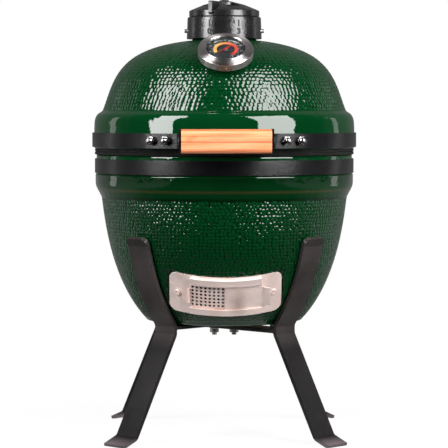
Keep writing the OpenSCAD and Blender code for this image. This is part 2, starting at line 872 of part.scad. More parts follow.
// Flat bar from one leg's knee to the opposite one's, with its two bolt holes
module cross_bar(a, z) {
    half = knee_r - strap_t / 2;
    difference() {
        rotate([0, 0, a]) translate([-half, -strap_w / 2, z]) cube([2 * half, strap_w, bar_t]);
        for (side = [-1, 1])
            translate([side * cross_bolt_x, 0, z - 1]) cylinder(r = hole_r, h = 20);
    }
}

module cross_bar_lower() color("#3a3130") cross_bar(corners[1], cross_z);

module cross_bar_upper() color("#3a3130") {
    sink_t = 3;
    difference() {
        cross_bar(corners[0], cross_z + bar_t);
        for (side = [-1, 1])
            translate([side * cross_bolt_x, 0, bowl_bottom_z - sink_t])
                cylinder(r1 = hole_r, r2 = hole_r + sink_t, h = sink_t + eps);
    }
}

// Countersunk bolts, flush with the top of the upper bar
module cross_bolts() color("silver")
    for (side = [-1, 1]) translate([side * cross_bolt_x, 0, 0]) {
        translate([0, 0, 124]) cylinder(r = bolt_r, h = bowl_bottom_z - 124 - 0.2);
        translate([0, 0, bowl_bottom_z - 3.2]) cylinder(r1 = bolt_r, r2 = bolt_r + 3, h = 3);
    }

module cross_washers() color("silver")
    for (side = [-1, 1]) translate([side * cross_bolt_x, 0, cross_z - 1.4]) difference() {
        cylinder(r = 6, h = 1.4);
        translate([0, 0, -1]) cylinder(r = hole_r, h = 4);
    }

module cross_nuts() color("silver")
    for (side = [-1, 1]) translate([side * cross_bolt_x, 0, cross_z - 1.4 - 5]) plain_nut(5);

base_bowl();
base_gasket();
base_band();
firebox();
fire_ring();
charcoal_grate();
cooking_grid();
draft_frame();
draft_frame_screws();
draft_door();
draft_screen();
leg_front_right();
leg_back_right();
leg_back_left();
leg_front_left();
cross_bar_upper();
cross_bar_lower();
cross_bolts();
cross_washers();
cross_nuts();
hinge_base_bracket();
hinge_base_bolts();
hinge_base_nuts();
hinge_pin();
hinge_pin_clip();
lid_dome();
lid_gasket();
lid_band();
handle_bar();
handle_bracket_left();
handle_bracket_right();
handle_bolts();
handle_nuts();
handle_end_screws();
hinge_lid_bracket();
hinge_lid_bolts();
hinge_lid_nuts();
vent_base();
vent_set_screws();
vent_disc();
vent_cap();
vent_pivot_bolt();
vent_cap_nut();
thermometer_case();
thermometer_bezel();
thermometer_dial();
thermometer_glass();
thermometer_stem();
thermometer_nut();
thermometer_needle();
thermometer_spindle();
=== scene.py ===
"""Looks of a compact ceramic kamado grill on a strap-steel stand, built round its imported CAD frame.

Metres, +Z up, front towards -Y, as in the frame. The CAD nodes keep their shapes and get node
materials and softened edges. Finer meshes replace the bowl, the lid, the two gaskets and the
thermometer's bezel. The dial's print, the vent's scale and four weld beads are added.
"""

import math
import random

import bmesh
import bpy
import numpy as np
from mathutils import Matrix, Vector, kdtree


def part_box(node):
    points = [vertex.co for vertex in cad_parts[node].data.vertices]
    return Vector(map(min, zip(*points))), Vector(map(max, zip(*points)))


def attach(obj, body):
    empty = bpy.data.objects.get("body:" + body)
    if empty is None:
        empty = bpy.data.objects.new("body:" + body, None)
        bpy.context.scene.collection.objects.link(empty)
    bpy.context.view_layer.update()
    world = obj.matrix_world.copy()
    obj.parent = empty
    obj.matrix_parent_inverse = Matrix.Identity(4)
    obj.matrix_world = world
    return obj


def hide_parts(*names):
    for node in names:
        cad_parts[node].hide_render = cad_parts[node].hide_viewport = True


MM = 0.001
SEED = 11

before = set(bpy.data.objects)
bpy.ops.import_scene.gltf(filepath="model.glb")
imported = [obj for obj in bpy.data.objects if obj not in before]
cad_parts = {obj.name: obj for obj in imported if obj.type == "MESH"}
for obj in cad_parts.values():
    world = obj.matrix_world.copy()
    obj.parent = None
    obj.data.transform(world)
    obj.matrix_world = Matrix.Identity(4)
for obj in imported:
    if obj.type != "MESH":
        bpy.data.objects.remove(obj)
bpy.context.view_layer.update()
scene = bpy.context.scene
scene.view_settings.view_transform = "Standard"


# ---- Sizes: from the frame where it has them, otherwise as in the CAD source ----

LID_LOW, LID_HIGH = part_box("lid_dome")
BOWL_LOW, BOWL_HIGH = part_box("base_bowl")
LID_R = LID_HIGH.x
WALL = 20 * MM
BOWL_CURVE = np.array([[155.5, 300], [150, 251], [138, 181], [92, 138]]) * MM
DOME_CURVE = np.array([[155, 405], [139.5, 451], [134.5, 486], [47, 496.7]]) * MM
BASE_RIM_R = LID_R - 3.2 * MM
GASKET_WIDTH = 16 * MM
FLOOR_Z = 166 * MM
NECK_R = 40 * MM
CHIMNEY_R = 30 * MM
DOME_UNDER_Z = 477 * MM

# The draft door's own space: its Z axis is the line that the slides turn round
DOOR_AXIS_Z = 244.2 * MM
DOOR_TILT = math.radians(27)
DOOR_SPACE = Matrix.Translation((0, 0, DOOR_AXIS_Z)) @ Matrix.Rotation(DOOR_TILT, 4, "X")
SEAT_R = 137 * MM
SEAT_HALF_ANGLE = math.asin(0.5) + math.radians(0.5)

# The thermometer's own space: its Z axis leaves the dome at a right angle
GAUGE_TILT = math.radians(36.4)
GAUGE_SPACE = Matrix.Translation((0, -118 * MM, 475 * MM)) @ Matrix.Rotation(GAUGE_TILT, 4, "X")
DIAL_FACE = 9.02 * MM

# Cast-in pebbles: how far each reaches and how far apart their rows are, as shares of their pitch
PEBBLE_REACH = 0.62
PEBBLE_ROWS = 0.86
# The height that the glaze's bump gives a pebble, as the mesh is too coarse to shade it
PEBBLE_BUMP = 0.5 * MM
# How many nearby pebbles can shape one spot
NEAREST = 3


# ---- Camera, light and stage ----

def make_camera():
    distance, height, aim_z = 2.857, 0.406, 0.2648
    side = math.radians(0.8)
    data = bpy.data.cameras.new("camera")
    data.lens = 181
    camera = bpy.data.objects.new("camera", data)
    camera.location = (-distance * math.sin(side), -distance * math.cos(side), height)
    way = Vector((-0.0003, 0, aim_z)) - camera.location
    camera.rotation_mode = "QUATERNION"
    camera.rotation_quaternion = way.to_track_quat("-Z", "Y")
    scene.collection.objects.link(camera)
    scene.camera = camera


# Each light: azimuth from the front towards +X and elevation, in degrees; distance, width and
# height; radiance; the height on the object's axis that it faces
LIGHTS = {
    "softbox_left": (-55, 23, 1.35, 0.54, 1.32, 14.5, 0.45),
    "softbox_right": (43.5, 23, 1.35, 0.82, 1.32, 13, 0.45),
    "card_left": (-112, 2, 1.6, 0.26, 1.3, 1.3, 0.4),
    "card_right": (110, 2, 1.6, 0.26, 1.3, 1.3, 0.4),
}


def make_softbox(name, azimuth, elevation, distance, width, height, radiance, target_z):
    """A rectangular light that faces a point on the object's axis."""
    a, e = math.radians(azimuth), math.radians(elevation)
    away = Vector((math.sin(a) * math.cos(e), -math.cos(a) * math.cos(e), math.sin(e)))
    data = bpy.data.lights.new(name, "AREA")
    data.shape = "RECTANGLE"
    data.size, data.size_y = width, height
    data.energy = radiance * math.pi * width * height
    light = bpy.data.objects.new(name, data)
    light.location = Vector((0, 0, target_z)) + away * distance
    light.rotation_mode = "QUATERNION"
    light.rotation_quaternion = (-away).to_track_quat("-Z", "Y")
    scene.collection.objects.link(light)


def make_world():
    """White backdrop; what the object reflects is dim in front and bright behind."""
    world = bpy.data.worlds.new("studio")
    world.use_nodes = True
    scene.world = world
    nodes, links = world.node_tree.nodes, world.node_tree.links
    nodes.clear()
    where = nodes.new("ShaderNodeTexCoord")
    split = nodes.new("ShaderNodeSeparateXYZ")
    ramp = nodes.new("ShaderNodeMapRange")
    ramp.interpolation_type = "SMOOTHSTEP"
    for key, value in (("From Min", 0.0), ("From Max", 0.5), ("To Min", 0.015), ("To Max", 0.19)):
        ramp.inputs[key].default_value = value
    around = nodes.new("ShaderNodeBackground")
    backdrop = nodes.new("ShaderNodeBackground")
    for background in (around, backdrop):
        background.inputs["Color"].default_value = (1, 1, 1, 1)
    path = nodes.new("ShaderNodeLightPath")
    pick = nodes.new("ShaderNodeMixShader")
    out = nodes.new("ShaderNodeOutputWorld")
    links.new(where.outputs["Generated"], split.inputs[0])
    links.new(split.outputs["Y"], ramp.inputs["Value"])
    links.new(ramp.outputs["Result"], around.inputs["Strength"])
    links.new(path.outputs["Is Camera Ray"], pick.inputs[0])
    links.new(around.outputs[0], pick.inputs[1])
    links.new(backdrop.outputs[0], pick.inputs[2])
    links.new(pick.outputs[0], out.inputs["Surface"])


def make_floor():
    """Plain white floor that fades into the backdrop and takes a faint contact shadow."""
    bpy.ops.mesh.primitive_plane_add(size=30)
    floor = bpy.context.object
    floor.name = "studio_floor"
    look = Look("studio_white", base=(0.9, 0.9, 0.9), roughness=0.9)
    look.shader.inputs["Specular IOR Level"].default_value = 0
    reach = look.node("ShaderNodeVectorMath", "LENGTH")
    look.link(look.place, reach.inputs[0])
    # What the camera sees: lit floor under the object, plain white further out
    glow = look.node("ShaderNodeEmission", Strength=1.0)
    seen = look.node("ShaderNodeMixShader")
    look.link(look.span(reach.outputs["Value"], 0.9, 1.0, 0.12, 0.4), seen.inputs[0])
    look.link(look.shader.outputs[0], seen.inputs[1])
    look.link(glow.outputs[0], seen.inputs[2])
    # What the object reflects: dim in front, brighter behind and beside, and right under it
    spot = look.node("ShaderNodeSeparateXYZ")
    look.link(look.place, spot.inputs[0])
    aside = look.maths("ABSOLUTE", spot.outputs["X"], 0.5)
    beyond = look.maths("ADD", aside, spot.outputs["Y"])
    around = look.span(beyond, 0.02, 0.28, 0.2, 0.8)
    under = look.span(reach.outputs["Value"], 0.6, 0.02, 0.14, 0.32)
    dim = look.node("ShaderNodeEmission")
    look.link(look.maths("MAXIMUM", around, under), dim.inputs["Strength"])
    path = look.node("ShaderNodeLightPath")
    pick = look.node("ShaderNodeMixShader")
    look.link(path.outputs["Is Camera Ray"], pick.inputs[0])
    look.link(dim.outputs[0], pick.inputs[1])
    look.link(seen.outputs[0], pick.inputs[2])
    look.link(pick.outputs[0], look.output.inputs["Surface"])
    floor.data.materials.append(look.material)


# ---- Materials ----

class Look:
    """A node material round one Principled shader, with short calls for what the looks share."""

    def __init__(self, name, base=(0.5, 0.5, 0.5), metallic=0.0, roughness=0.5, **sockets):
        self.material = bpy.data.materials.new(name)
        self.material.use_nodes = True
        self.tree = self.material.node_tree
        self.shader = self.tree.nodes["Principled BSDF"]
        self.output = self.tree.nodes["Material Output"]
        self.shader.inputs["Base Color"].default_value = (*base, 1)
        self.shader.inputs["Metallic"].default_value = metallic
        self.shader.inputs["Roughness"].default_value = roughness
        for key, value in sockets.items():
            self.shader.inputs[key.replace("_", " ")].default_value = value
        self.place = self.tree.nodes.new("ShaderNodeTexCoord").outputs["Object"]

    def node(self, kind, operation=None, **values):
        made = self.tree.nodes.new(kind)
        if operation:
            made.operation = operation
        for key, value in values.items():
            made.inputs[key].default_value = value
        return made

    def link(self, a, b):
        self.tree.links.new(a, b)

    def attribute(self, name):
        made = self.node("ShaderNodeAttribute")
        made.attribute_name = name
        return made

    def maths(self, operation, a, b):
        made = self.node("ShaderNodeMath", operation)
        for value, socket in ((a, made.inputs[0]), (b, made.inputs[1])):
            if isinstance(value, bpy.types.NodeSocket):
                self.link(value, socket)
            else:
                socket.default_value = value
        return made.outputs[0]

    def scaled(self, x, y, z):
        """Object coordinates stretched along each axis."""
        mapping = self.node("ShaderNodeMapping", Scale=(x, y, z))
        self.link(self.place, mapping.inputs["Vector"])
        return mapping.outputs[0]

    def noise(self, scale, detail=3, roughness=0.55, at=None, distortion=0.0):
        made = self.node(
            "ShaderNodeTexNoise", Scale=scale, Detail=detail, Roughness=roughness,
            Distortion=distortion)
        self.link(at or self.place, made.inputs["Vector"])
        return made.outputs["Fac"]

    def ramp(self, factor, *stops):
        """Colour ramp; each stop is (position, colour)."""
        made = self.node("ShaderNodeValToRGB")
        marks = made.color_ramp.elements
        while len(marks) < len(stops):
            marks.new(0.5)
        for mark, (position, colour) in zip(marks, stops):
            mark.position = position
            mark.color = (*colour, 1)
        self.link(factor, made.inputs[0])
        return made.outputs["Color"]

    def span(self, factor, low, high, from_low=0.3, from_high=0.7):
        """The factor's middle range, spread from low to high."""
        made = self.node("ShaderNodeMapRange", **{
            "From Min": from_low, "From Max": from_high, "To Min": low, "To Max": high})
        self.link(factor, made.inputs["Value"])
        return made.outputs[0]

    def mix(self, factor, a, b, blend="MIX"):
        """Two colours mixed; a and b are sockets or colours, factor a socket or a number."""
        made = self.tree.nodes.new("ShaderNodeMix")
        made.data_type = "RGBA"
        made.blend_type = blend
        for value, socket in ((factor, made.inputs[0]), (a, made.inputs[6]), (b, made.inputs[7])):
            if isinstance(value, bpy.types.NodeSocket):
                self.link(value, socket)
            elif isinstance(value, tuple):
                socket.default_value = (*value, 1)
            else:
                socket.default_value = value
        return made.outputs[2]

    def colour(self, socket):
        self.link(socket, self.shader.inputs["Base Color"])

    def rough(self, socket):
        self.link(socket, self.shader.inputs["Roughness"])

    def bump(self, *layers):
        """Each layer is (height socket, distance in metres). They add up, also in the coat."""
        normal = None
        for height, distance in layers:
            made = self.node("ShaderNodeBump", Strength=1.0, Distance=distance)
            self.link(height, made.inputs["Height"])
            if normal:
                self.link(normal, made.inputs["Normal"])
            normal = made.outputs[0]
        self.link(normal, self.shader.inputs["Normal"])
        if self.shader.inputs["Coat Weight"].default_value > 0:
            self.link(normal, self.shader.inputs["Coat Normal"])


def glaze_look():
    """Deep green glass over clay: thin and bright on the bumps, dark where it pools between them.

    The shells' attributes pebble_0 to pebble_2 hold the way to the three nearest pebble centres,
    in reaches. pebbled is the pebbles' share of their full height; thin is where the glaze has run
    off an edge, and the third mark is painted shade on the bowl's rim under the lower band.
    """
    look = Look("glazed_ceramic", roughness=0.32, Coat_Weight=1.0, Coat_Roughness=0.025)
    look.shader.inputs["Specular IOR Level"].default_value = 0
    nearest = None
    for i in range(NEAREST):
        gap = look.attribute(f"pebble_{i}").outputs["Vector"]
        square = look.node("ShaderNodeVectorMath", "DOT_PRODUCT")
        look.link(gap, square.inputs[0])
        look.link(gap, square.inputs[1])
        square = square.outputs["Value"]
        nearest = look.maths("MINIMUM", nearest, square) if nearest else square
    pebble = look.maths("MAXIMUM", look.maths("SUBTRACT", 1.0, nearest), 0.0)
    share = look.attribute("pebbled").outputs["Fac"]
    height = look.maths("MULTIPLY", pebble, share)
    plain = look.maths("MULTIPLY", look.maths("SUBTRACT", 1.0, share), 0.75)
    tone = look.ramp(
        look.maths("ADD", height, plain),
        (0.0, (0.0001, 0.008, 0.0017)), (0.35, (0.0003, 0.019, 0.0042)),
        (0.75, (0.0006, 0.030, 0.0068)), (1.0, (0.0011, 0.039, 0.0096)))
    patches = look.span(look.noise(9, 4), 0.0, 0.45)
    toned = look.mix(patches, tone, (0.0002, 0.014, 0.0036))
    speck = look.ramp(look.noise(520, 2), (0.66, (0, 0, 0)), (0.74, (1, 1, 1)))
    glaze = look.mix(look.span(speck, 0, 0.35, 0, 1), toned, (0.0001, 0.006, 0.0018))
    # Painted shade: the bowl's rim is darker where the lower band shades it
    rim_shaded = look.mix(look.attribute("painted_rim_shade").outputs["Fac"], glaze, (0.0001, 0.006, 0.0008))
    look.colour(look.mix(look.attribute("thin").outputs["Fac"], rim_shaded, (0.035, 0.034, 0.010)))
    look.bump((height, PEBBLE_BUMP), (look.noise(38, 2), 0.0009), (look.noise(260, 2), 0.00006))
    return look.material


def clay_look():
    look = Look("refractory", roughness=0.88)
    body = look.ramp(
        look.noise(60, 5), (0.3, (0.40, 0.30, 0.20)), (0.55, (0.56, 0.45, 0.32)),
        (0.75, (0.64, 0.54, 0.41)))
    soot = look.span(look.noise(14, 5), 0.0, 0.55, 0.42, 0.72)
    specks = look.ramp(look.noise(700, 2), (0.62, (1, 1, 1)), (0.7, (0.45, 0.36, 0.28)))
    look.colour(look.mix(1.0, look.mix(soot, body, (0.11, 0.09, 0.07)), specks, "MULTIPLY"))
    look.bump((look.noise(420, 4), 0.0006), (look.noise(45, 3), 0.0008))
    return look.material


def felt_look():
    look = Look("felt", roughness=0.97, Sheen_Weight=0.04, Sheen_Roughness=0.6)
    look.shader.inputs["Specular IOR Level"].default_value = 0.1
    fibres = look.noise(700, 5, 0.7, look.scaled(1, 1, 3.5), 1.2)
    look.colour(look.ramp(
        fibres, (0.35, (0.0012, 0.0012, 0.0012)), (0.62, (0.004, 0.0036, 0.003)),
        (0.85, (0.022, 0.016, 0.010))))
    look.bump((fibres, 0.0012), (look.noise(90, 3), 0.001))
    return look.material


def paint_look(name, dark, light, roughness, grain_scale, grain):
    """Painted or powder-coated steel: fine orange peel, slow shifts of tone and gloss."""
    look = Look(name, Coat_Weight=0.05, Coat_Roughness=0.15)
    look.shader.inputs["Specular IOR Level"].default_value = 0.24
    tone = look.noise(30, 5)
    dust = look.ramp(look.noise(850, 3), (0.7, (0, 0, 0)), (0.82, (1, 1, 1)))
    look.colour(look.mix(
        look.span(dust, 0, 0.5, 0, 1), look.ramp(tone, (0.35, dark), (0.7, light)),
        tuple(2.2 * c for c in light)))
    look.rough(look.span(look.noise(16, 5), roughness * 0.82, roughness * 1.2))
    look.bump((look.noise(grain_scale, 3), grain), (look.noise(70, 2), 0.0002))
    return look.material


def stand_look():
    """Black powder coat with painted light by height: painted highlight on the toes, painted shade on
    the shins, lighter upper legs.
    """
    look = Look("stand_powder_coat", Coat_Weight=0.1, Coat_Roughness=0.12)
    look.shader.inputs["Specular IOR Level"].default_value = 0.3
    spot = look.node("ShaderNodeSeparateXYZ")
    look.link(look.place, spot.inputs[0])
    # Painted light by height: lighter toes and upper legs, darker shins, as the light falls on them
    wear_and_painted_light = look.ramp(
        look.span(spot.outputs["Z"], 0.0, 1.0, 0.0, 0.3),
        (0.015, (0.085, 0.068, 0.075)), (0.035, (0.006, 0.005, 0.0056)),
        (0.38, (0.006, 0.005, 0.0056)), (0.46, (0.034, 0.029, 0.028)))
    tone = look.ramp(look.noise(18, 5), (0.35, (0.6, 0.6, 0.6)), (0.7, (1.25, 1.22, 1.22)))
    scuffs = look.ramp(look.noise(11, 6, 0.7), (0.66, (0, 0, 0)), (0.76, (1, 1, 1)))
    painted = look.mix(1.0, wear_and_painted_light, tone, "MULTIPLY")
    look.colour(look.mix(look.span(scuffs, 0, 0.22, 0, 1), painted, (0.12, 0.11, 0.115)))
    look.rough(look.span(look.noise(16, 5), 0.26, 0.42))
    look.bump((look.noise(1500, 3), 0.00012), (look.noise(70, 2), 0.0002))
    return look.material


def cast_look(name, dark, light, roughness, coarse):
    """Cast iron: sand-cast skin under enamel or seasoning."""
    look = Look(name, Coat_Weight=0.3, Coat_Roughness=0.18)
    look.colour(look.ramp(look.noise(55, 5), (0.35, dark), (0.72, light)))
    look.rough(look.span(look.noise(40, 4), roughness * 0.75, roughness * 1.3))
    look.bump((look.noise(330, 4, 0.6), coarse), (look.noise(80, 3), 2.0 * coarse))
    return look.material


def metal_look(name, base, roughness, stretch=(1, 1, 1), line_depth=0.00003, stain=None,
               metallic=1.0, smudge=None):
    """Bare or plated metal with fine lines along the axis that stretch leaves short.

    stain is the colour of faint clouds, and of a heat mark round the point smudge.
    """
    look = Look(name, base=base, metallic=metallic)
    lines = look.noise(900, 3, 0.6, look.scaled(*stretch))
    clouds = look.noise(28, 4)
    toned = look.mix(look.span(lines, 0.0, 0.35), base, tuple(0.72 * c for c in base))
    if stain:
        toned = look.mix(look.span(clouds, 0.0, 0.6, 0.5, 0.75), toned, stain)
    if smudge:
        away = look.node("ShaderNodeVectorMath", "DISTANCE")
        look.link(look.scaled(1, 0.3, 0.6), away.inputs[0])
        away.inputs[1].default_value = (smudge[0], 0.3 * smudge[1], 0.6 * smudge[2])
        near = look.span(away.outputs["Value"], 1, 0, 0.002, 0.013)
        heat = look.maths("MULTIPLY", near, look.span(clouds, 0.25, 1))
        toned = look.mix(heat, toned, tuple(0.55 * c for c in stain))
    look.colour(toned)
    wear_and_painted_light = look.noise(120, 3, 0.5, look.scaled(*stretch))
    look.rough(look.span(wear_and_painted_light, roughness * 0.8, roughness * 1.35))
    look.bump((lines, line_depth))
    return look.material


def turned_look():
    """Steel brushed round the piece's own Z axis."""
    look = Look(
        "turned_steel", base=(0.80, 0.75, 0.75), metallic=1.0, Anisotropic=0.9,
        Anisotropic_Rotation=0.25)
    rings = look.noise(1400, 3, 0.6, look.scaled(0.02, 0.02, 1))
    clouds = look.span(look.noise(60, 4), 0, 0.5)
    look.colour(look.mix(clouds, (0.82, 0.77, 0.77), (0.52, 0.44, 0.43)))
    look.rough(look.span(rings, 0.26, 0.40))
    tangent = look.node("ShaderNodeTangent")
    tangent.direction_type = "RADIAL"
    tangent.axis = "Z"
    look.link(tangent.outputs[0], look.shader.inputs["Tangent"])
    look.bump((look.noise(900, 2), 0.000006))
    return look.material


def bamboo_look():
    """Laminated bamboo: strips a few millimetres high, long fibres, a few darker nodes."""
    look = Look("bamboo", roughness=0.42, Coat_Weight=0.25, Coat_Roughness=0.25)
    look.shader.inputs["Specular IOR Level"].default_value = 0.4
    fibres = look.noise(420, 4, 0.6, look.scaled(0.035, 1, 1))
    broad = look.noise(150, 3, 0.5, look.scaled(0.06, 1, 1))
    wood = look.ramp(
        fibres, (0.28, (0.66, 0.19, 0.075)), (0.5, (0.88, 0.30, 0.135)), (0.75, (0.98, 0.40, 0.21)))
    tone = look.ramp(broad, (0.38, (0.80, 0.74, 0.70)), (0.62, (1, 1, 1)))
    strips = look.node("ShaderNodeTexWave", Scale=22.0, Distortion=0.6, Detail=2.0)
    strips.wave_type = "BANDS"
    strips.bands_direction = "Z"
    look.link(look.scaled(0.05, 1, 1), strips.inputs["Vector"])
    seams = look.ramp(strips.outputs["Fac"], (0.0, (0.62, 0.52, 0.46)), (0.10, (1, 1, 1)))
    knots = look.ramp(
        look.noise(26, 2, 0.5, look.scaled(1, 0.3, 1.4)), (0.70, (1, 1, 1)),
        (0.76, (0.78, 0.66, 0.56)))
    shaded = wood
    for share, layer in ((0.8, tone), (1.0, seams), (1.0, knots)):
        shaded = look.mix(share, shaded, layer, "MULTIPLY")
    look.colour(shaded)
    look.rough(look.span(fibres, 0.36, 0.55))
    look.bump((fibres, 0.00018), (strips.outputs["Fac"], 0.0001))
    return look.material


def dial_look():
    look = Look("dial_face", roughness=0.35, Coat_Weight=0.3, Coat_Roughness=0.1)
    look.colour(look.ramp(
        look.noise(800, 3), (0.3, (0.018, 0.026, 0.030)), (0.7, (0.03, 0.04, 0.045))))
    look.bump((look.noise(1500, 2), 0.00002))
    return look.material


def print_look(name, colour, roughness=0.4):
    """Screen-printed ink, slightly uneven."""
    look = Look(name, roughness=roughness)
    look.colour(look.ramp(
        look.noise(2200, 3), (0.3, tuple(0.82 * c for c in colour)), (0.7, colour)))
    look.bump((look.noise(2600, 2), 0.00001))
    return look.material


def scale_look():
    """The coloured arc of the dial: yellow on the left, orange above, red on the right."""
    look = Look("dial_scale", roughness=0.4)
    hue = look.ramp(
        look.attribute("sweep").outputs["Fac"], (0.0, (0.95, 0.45, 0.10)),
        (0.28, (0.98, 0.55, 0.12)), (0.52, (0.90, 0.16, 0.04)), (0.75, (0.85, 0.03, 0.03)),
        (1.0, (0.62, 0.015, 0.02)))
    look.colour(look.mix(look.span(look.noise(1500, 3), 0.0, 0.3), hue, (0.5, 0.2, 0.1)))
    look.bump((look.noise(2600, 2), 0.00001))
    return look.material


def glass_look():
    look = Look("glass", base=(0.96, 0.98, 0.98), roughness=0.02)
    look.shader.inputs["Transmission Weight"].default_value = 1.0
    look.shader.inputs["IOR"].default_value = 1.45
    look.bump((look.noise(18, 2), 0.00004))
    return look.material


def make_looks():
    return {
        "glazed_ceramic": glaze_look(),
        "refractory": clay_look(),
        "felt": felt_look(),
        "band_paint": paint_look(
            "band_paint", (0.0022, 0.0020, 0.0026), (0.0050, 0.0046, 0.0056), 0.3, 900, 0.00008),
        "stand_powder_coat": stand_look(),
        "cast_iron": cast_look(
            "cast_iron", (0.02, 0.018, 0.017), (0.05, 0.045, 0.042), 0.6, 0.0005),
        "vent_iron": cast_look(
            "vent_iron", (0.0040, 0.0034, 0.0040), (0.011, 0.0095, 0.011), 0.25, 0.0002),
        # Painted shade: the figures and ticks are much darker than the iron round them, standing in
        # for the dark outlines of their raised relief
        "vent_figures": paint_look(
            "vent_figures", (0.0008, 0.0007, 0.0008), (0.002, 0.0018, 0.002), 0.5, 900, 0.00004),
        "wire_steel": metal_look("wire_steel", (0.62, 0.60, 0.57), 0.22, stain=(0.42, 0.34, 0.24)),
        # The door steel's warm pink base is painted reflection of a warm surrounding
        "stainless": metal_look(
            "stainless", (0.93, 0.77, 0.72), 0.54, (0.05, 1, 1), 0.00003, (0.72, 0.47, 0.38), 0.55,
            (15 * MM, -125 * MM, 170 * MM)),
        "polished_steel": metal_look("polished_steel", (0.70, 0.64, 0.63), 0.3, (1, 1, 1), 0.00001),
        "turned_steel": turned_look(),
        "zinc_steel": metal_look("zinc_steel", (0.62, 0.62, 0.60), 0.34, stain=(0.50, 0.46, 0.36)),
        "chrome": metal_look("chrome", (0.42, 0.40, 0.40), 0.24, line_depth=0.000008),
        "black_screw": paint_look(
            "black_screw", (0.008, 0.008, 0.009), (0.016, 0.016, 0.017), 0.4, 1800, 0.00005),
        "bamboo": bamboo_look(),
        "dial_face": dial_look(),
        "glass": glass_look(),
        "needle_red": print_look("needle_red", (0.75, 0.02, 0.02), 0.25),
        "dial_white": print_look("dial_white", (0.85, 0.84, 0.82)),
        "dial_scale": scale_look(),
    }


# ---- Mesh helpers ----

def new_object(name, points, faces, materials, body, smooth=True, space=None):
    mesh = bpy.data.meshes.new(name)
    mesh.from_pydata([tuple(p) for p in points], [], faces)
    mesh.validate()
    for material in materials:
        mesh.materials.append(material)
    mesh.polygons.foreach_set("use_smooth", [smooth] * len(mesh.polygons))
    made = bpy.data.objects.new(name, mesh)
    scene.collection.objects.link(made)
    if space:
        made.matrix_world = space
    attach(made, body)
    return made


def curve_points(control, ts):
    t = np.array(ts)[:, None]
    p0, p1, p2, p3 = control
    return (1 - t) ** 3 * p0 + 3 * (1 - t) ** 2 * t * p1 + 3 * (1 - t) * t ** 2 * p2 + t ** 3 * p3


def curve_offset(control, ts, gap):
    """Points beside the curve, to its left as it runs."""
    t = np.array(ts)[:, None]
    p0, p1, p2, p3 = control
    way = (1 - t) ** 2 * (p1 - p0) + 2 * (1 - t) * t * (p2 - p1) + t ** 2 * (p3 - p2)
    way /= np.linalg.norm(way, axis=1)[:, None]
    return curve_points(control, ts) + gap * np.stack([-way[:, 1], way[:, 0]], 1)


def eased(points, rounds=2):
    """Cuts the corners of an open outline, so that glazed edges look poured."""
    for _ in range(rounds):
        a, b = points[:-1], points[1:]
        cut = np.stack([0.78 * a + 0.22 * b, 0.22 * a + 0.78 * b], 1).reshape(-1, 2)
        points = np.concatenate([points[:1], cut, points[-1:]])
    return points


def resampled(points, pitch):
    """The same outline with points an even distance apart, at most pitch."""
    lengths = np.linalg.norm(np.diff(points, axis=0), axis=1)
    along = np.concatenate([[0], np.cumsum(lengths)])
    n = max(1, math.ceil(along[-1] / pitch))
    at = np.linspace(0, along[-1], n + 1)
    return np.stack([np.interp(at, along, points[:, 0]), np.interp(at, along, points[:, 1])], 1)


def resampled_keep(points, pitch):
    """Adds points along long stretches of an outline and keeps every corner."""
    parts = []
    for a, b in zip(points[:-1], points[1:]):
        n = max(1, math.ceil(np.linalg.norm(b - a) / pitch))
        parts += [a + (b - a) * i / n for i in range(n)]
    return np.array(parts + [points[-1]])


def way_out(outline):
    """Unit normals of an outline, to the right as it runs."""
    way = np.gradient(outline, axis=0)
    way /= np.maximum(np.linalg.norm(way, axis=1), 1e-12)[:, None]
    return np.stack([way[:, 1], -way[:, 0]], 1)


def lathe(outline, ring):
    """Every outline point carried round the ring: rows by columns by XYZ."""
    around = outline[:, None, :1] * ring[None, :, :]
    heights = np.broadcast_to(outline[:, None, 1:], (*around.shape[:2], 1))
    return np.concatenate([around, heights], 2)


def ring_faces(columns, n):
    """Quads of a closed ring whose section has n points."""
    faces = []
    for k in range(columns):
        a, b = k * n, (k + 1) % columns * n
        faces += [(a + i, b + i, b + (i + 1) % n, a + (i + 1) % n) for i in range(n)]
    return faces


def pebble_centres(outline, z_low, z_high, pitch, rng):
    """Centres of the cast-in pebbles: rows round the shell, a little uneven."""
    rows = resampled(outline, pitch * PEBBLE_ROWS)
    centres = []
    for r, z in rows:
        if not z_low <= z <= z_high:
            continue
        n = round(2 * math.pi * r / pitch)
        turn = rng.random()
        for k in range(n):
            a = 2 * math.pi * (k + turn + rng.uniform(-0.17, 0.17)) / n
            lift = rng.uniform(-0.14, 0.14) * pitch
            centres.append((r * math.sin(a), -r * math.cos(a), z + lift))
    return centres


